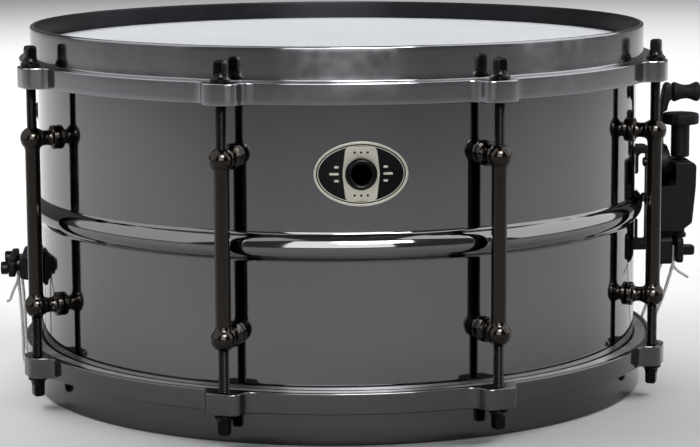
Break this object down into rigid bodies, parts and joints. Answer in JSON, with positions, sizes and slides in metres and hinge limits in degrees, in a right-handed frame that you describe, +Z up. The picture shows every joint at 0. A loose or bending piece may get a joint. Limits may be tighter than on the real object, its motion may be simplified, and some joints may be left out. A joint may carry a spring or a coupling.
{
  "type": "snare drum",
  "caption": "Metal snare drum with beaded black nickel shell, tube lugs, die-cast hoops, coated head, throw-off strainer, butt plate and snare wires",
  "frame": {"origin": "centre of the batter head's playing surface, on the drum's axis", "axes": "+Z up along the drum's axis, out of the batter head; +X towards the strainer; -Y towards the badge"},
  "size_m": [0.3895, 0.3484, 0.1982],
  "materials": {
    "shell_nickel": "black nickel plate, mirror polished",
    "hoop_nickel": "black nickel plate, polished die casting",
    "lug_black": "black nickel plate, glossy and slightly warm",
    "rod_black": "black plated steel thread",
    "screw_black": "black plated steel",
    "satin_black": "satin black powder coat",
    "grip_rubber": "moulded black rubber",
    "steel_bright": "bright plated steel",
    "hoop_aluminium": "satin aluminium channel",
    "batter_film_white": "sprayed white coating, fine texture",
    "snare_film_hazy": "thin hazy film",
    "badge_enamel": "cream and black enamel",
    "grommet_black": "gloss black",
    "cord_white": "braided white cord"
  },
  "bodies": {
    "drum_body": {"shell": "shell_nickel", "badge": "badge_enamel", "vent_grommet": "grommet_black", "batter_film": "batter_film_white", "snare_film": "snare_film_hazy", "lug_1": "lug_black", "lug_2": "lug_black", "lug_3": "lug_black", "lug_4": "lug_black", "lug_5": "lug_black", "lug_6": "lug_black", "lug_7": "lug_black", "lug_8": "lug_black", "strainer_bracket": "satin_black", "strainer_housing": "satin_black", "lever_pivot_pin": "screw_black", "housing_screw_1": "screw_black", "housing_screw_2": "screw_black", "bracket_screw_1": "steel_bright", "bracket_screw_2": "steel_bright", "butt_body": "satin_black", "butt_clamp_plate": "satin_black", "butt_clamp_screw_1": "screw_black", "butt_clamp_screw_2": "screw_black", "butt_mount_screw_1": "steel_bright", "butt_mount_screw_2": "steel_bright", "butt_cord": "cord_white", "snare_wires": "steel_bright"},
    "batter_rim": {"batter_hoop": "hoop_nickel", "batter_counter_hoop": "hoop_aluminium"},
    "snare_rim": {"snare_hoop": "hoop_nickel", "snare_counter_hoop": "hoop_aluminium"},
    "batter_tension_1": {"batter_rod_1": "rod_black"},
    "batter_tension_2": {"batter_rod_2": "rod_black"},
    "batter_tension_3": {"batter_rod_3": "rod_black"},
    "batter_tension_4": {"batter_rod_4": "rod_black"},
    "batter_tension_5": {"batter_rod_5": "rod_black"},
    "batter_tension_6": {"batter_rod_6": "rod_black"},
    "batter_tension_7": {"batter_rod_7": "rod_black"},
    "batter_tension_8": {"batter_rod_8": "rod_black"},
    "snare_tension_1": {"snare_rod_1": "rod_black"},
    "snare_tension_2": {"snare_rod_2": "rod_black"},
    "snare_tension_3": {"snare_rod_3": "rod_black"},
    "snare_tension_4": {"snare_rod_4": "rod_black"},
    "snare_tension_5": {"snare_rod_5": "rod_black"},
    "snare_tension_6": {"snare_rod_6": "rod_black"},
    "snare_tension_7": {"snare_rod_7": "rod_black"},
    "snare_tension_8": {"snare_rod_8": "rod_black"},
    "throw_off": {"throw_lever": "satin_black", "lever_grip": "grip_rubber"},
    "carriage": {"lift_carriage": "steel_bright", "strainer_cord": "cord_white"},
    "knob": {"tension_knob": "satin_black"},
    "clamp": {"wire_jaw": "satin_black", "strainer_clamp_plate": "satin_black", "strainer_clamp_screw": "screw_black"}
  },
  "joints": [
    {"name": "batter_hoop_tuning", "type": "slide", "parent": "drum_body", "child": "batter_rim", "axis": [0, 0, 1], "range_m": [-0.00106, 0.00317]},
    {"name": "snare_hoop_tuning", "type": "slide", "parent": "drum_body", "child": "snare_rim", "axis": [0, 0, -1], "range_m": [-0.00106, 0.00317]},
    {"name": "batter_tension_1_turn", "type": "hinge", "parent": "batter_rim", "child": "batter_tension_1", "pos_m": [0.06816, -0.16454, -0.0074], "axis": [0, 0, 1], "range_deg": [-361, 1081]},
    {"name": "batter_tension_2_turn", "type": "hinge", "parent": "batter_rim", "child": "batter_tension_2", "pos_m": [0.16454, -0.06816, -0.0074], "axis": [0, 0, 1], "range_deg": [-361, 1081]},
    {"name": "batter_tension_3_turn", "type": "hinge", "parent": "batter_rim", "child": "batter_tension_3", "pos_m": [0.16454, 0.06816, -0.0074], "axis": [0, 0, 1], "range_deg": [-361, 1081]},
    {"name": "batter_tension_4_turn", "type": "hinge", "parent": "batter_rim", "child": "batter_tension_4", "pos_m": [0.06816, 0.16454, -0.0074], "axis": [0, 0, 1], "range_deg": [-361, 1081]},
    {"name": "batter_tension_5_turn", "type": "hinge", "parent": "batter_rim", "child": "batter_tension_5", "pos_m": [-0.06816, 0.16454, -0.0074], "axis": [0, 0, 1], "range_deg": [-361, 1081]},
    {"name": "batter_tension_6_turn", "type": "hinge", "parent": "batter_rim", "child": "batter_tension_6", "pos_m": [-0.16454, 0.06816, -0.0074], "axis": [0, 0, 1], "range_deg": [-361, 1081]},
    {"name": "batter_tension_7_turn", "type": "hinge", "parent": "batter_rim", "child": "batter_tension_7", "pos_m": [-0.16454, -0.06816, -0.0074], "axis": [0, 0, 1], "range_deg": [-361, 1081]},
    {"name": "batter_tension_8_turn", "type": "hinge", "parent": "batter_rim", "child": "batter_tension_8", "pos_m": [-0.06816, -0.16454, -0.0074], "axis": [0, 0, 1], "range_deg": [-361, 1081]},
    {"name": "snare_tension_1_turn", "type": "hinge", "parent": "snare_rim", "child": "snare_tension_1", "pos_m": [0.06816, -0.16454, -0.1714], "axis": [0, 0, -1], "range_deg": [-361, 1081]},
    {"name": "snare_tension_2_turn", "type": "hinge", "parent": "snare_rim", "child": "snare_tension_2", "pos_m": [0.16454, -0.06816, -0.1714], "axis": [0, 0, -1], "range_deg": [-361, 1081]},
    {"name": "snare_tension_3_turn", "type": "hinge", "parent": "snare_rim", "child": "snare_tension_3", "pos_m": [0.16454, 0.06816, -0.1714], "axis": [0, 0, -1], "range_deg": [-361, 1081]},
    {"name": "snare_tension_4_turn", "type": "hinge", "parent": "snare_rim", "child": "snare_tension_4", "pos_m": [0.06816, 0.16454, -0.1714], "axis": [0, 0, -1], "range_deg": [-361, 1081]},
    {"name": "snare_tension_5_turn", "type": "hinge", "parent": "snare_rim", "child": "snare_tension_5", "pos_m": [-0.06816, 0.16454, -0.1714], "axis": [0, 0, -1], "range_deg": [-361, 1081]},
    {"name": "snare_tension_6_turn", "type": "hinge", "parent": "snare_rim", "child": "snare_tension_6", "pos_m": [-0.16454, 0.06816, -0.1714], "axis": [0, 0, -1], "range_deg": [-361, 1081]},
    {"name": "snare_tension_7_turn", "type": "hinge", "parent": "snare_rim", "child": "snare_tension_7", "pos_m": [-0.16454, -0.06816, -0.1714], "axis": [0, 0, -1], "range_deg": [-361, 1081]},
    {"name": "snare_tension_8_turn", "type": "hinge", "parent": "snare_rim", "child": "snare_tension_8", "pos_m": [-0.06816, -0.16454, -0.1714], "axis": [0, 0, -1], "range_deg": [-361, 1081]},
    {"name": "throw_lever_turn", "type": "hinge", "parent": "drum_body", "child": "throw_off", "pos_m": [0.1799, 0, -0.0709], "axis": [1, 0, 0], "range_deg": [-0.2, 90.2]},
    {"name": "carriage_lift", "type": "slide", "parent": "drum_body", "child": "carriage", "axis": [0, 0, 1], "range_m": [-0.004, 0], "deforming": ["strainer_cord", "snare_wires"]},
    {"name": "fine_tension_turn", "type": "hinge", "parent": "carriage", "child": "knob", "pos_m": [0.1929, 0, -0.068], "axis": [0, 0, 1], "range_deg": [-721, 721]},
    {"name": "clamp_slide", "type": "slide", "parent": "carriage", "child": "clamp", "axis": [0, 0, 1], "range_m": [-0.0016, 0.0016]}
  ],
  "couplings": [
    {"joint": "batter_tension_1_turn", "follows": "batter_hoop_tuning", "rad_per_m": 5936.9},
    {"joint": "batter_tension_2_turn", "follows": "batter_hoop_tuning", "rad_per_m": 5936.9},
    {"joint": "batter_tension_3_turn", "follows": "batter_hoop_tuning", "rad_per_m": 5936.9},
    {"joint": "batter_tension_4_turn", "follows": "batter_hoop_tuning", "rad_per_m": 5936.9},
    {"joint": "batter_tension_5_turn", "follows": "batter_hoop_tuning", "rad_per_m": 5936.9},
    {"joint": "batter_tension_6_turn", "follows": "batter_hoop_tuning", "rad_per_m": 5936.9},
    {"joint": "batter_tension_7_turn", "follows": "batter_hoop_tuning", "rad_per_m": 5936.9},
    {"joint": "batter_tension_8_turn", "follows": "batter_hoop_tuning", "rad_per_m": 5936.9},
    {"joint": "snare_tension_1_turn", "follows": "snare_hoop_tuning", "rad_per_m": 5936.9},
    {"joint": "snare_tension_2_turn", "follows": "snare_hoop_tuning", "rad_per_m": 5936.9},
    {"joint": "snare_tension_3_turn", "follows": "snare_hoop_tuning", "rad_per_m": 5936.9},
    {"joint": "snare_tension_4_turn", "follows": "snare_hoop_tuning", "rad_per_m": 5936.9},
    {"joint": "snare_tension_5_turn", "follows": "snare_hoop_tuning", "rad_per_m": 5936.9},
    {"joint": "snare_tension_6_turn", "follows": "snare_hoop_tuning", "rad_per_m": 5936.9},
    {"joint": "snare_tension_7_turn", "follows": "snare_hoop_tuning", "rad_per_m": 5936.9},
    {"joint": "snare_tension_8_turn", "follows": "snare_hoop_tuning", "rad_per_m": 5936.9},
    {"joint": "throw_lever_turn", "follows": "carriage_lift", "rad_per_m": -392.7},
    {"joint": "fine_tension_turn", "follows": "clamp_slide", "rad_per_m": -7854}
  ]
}
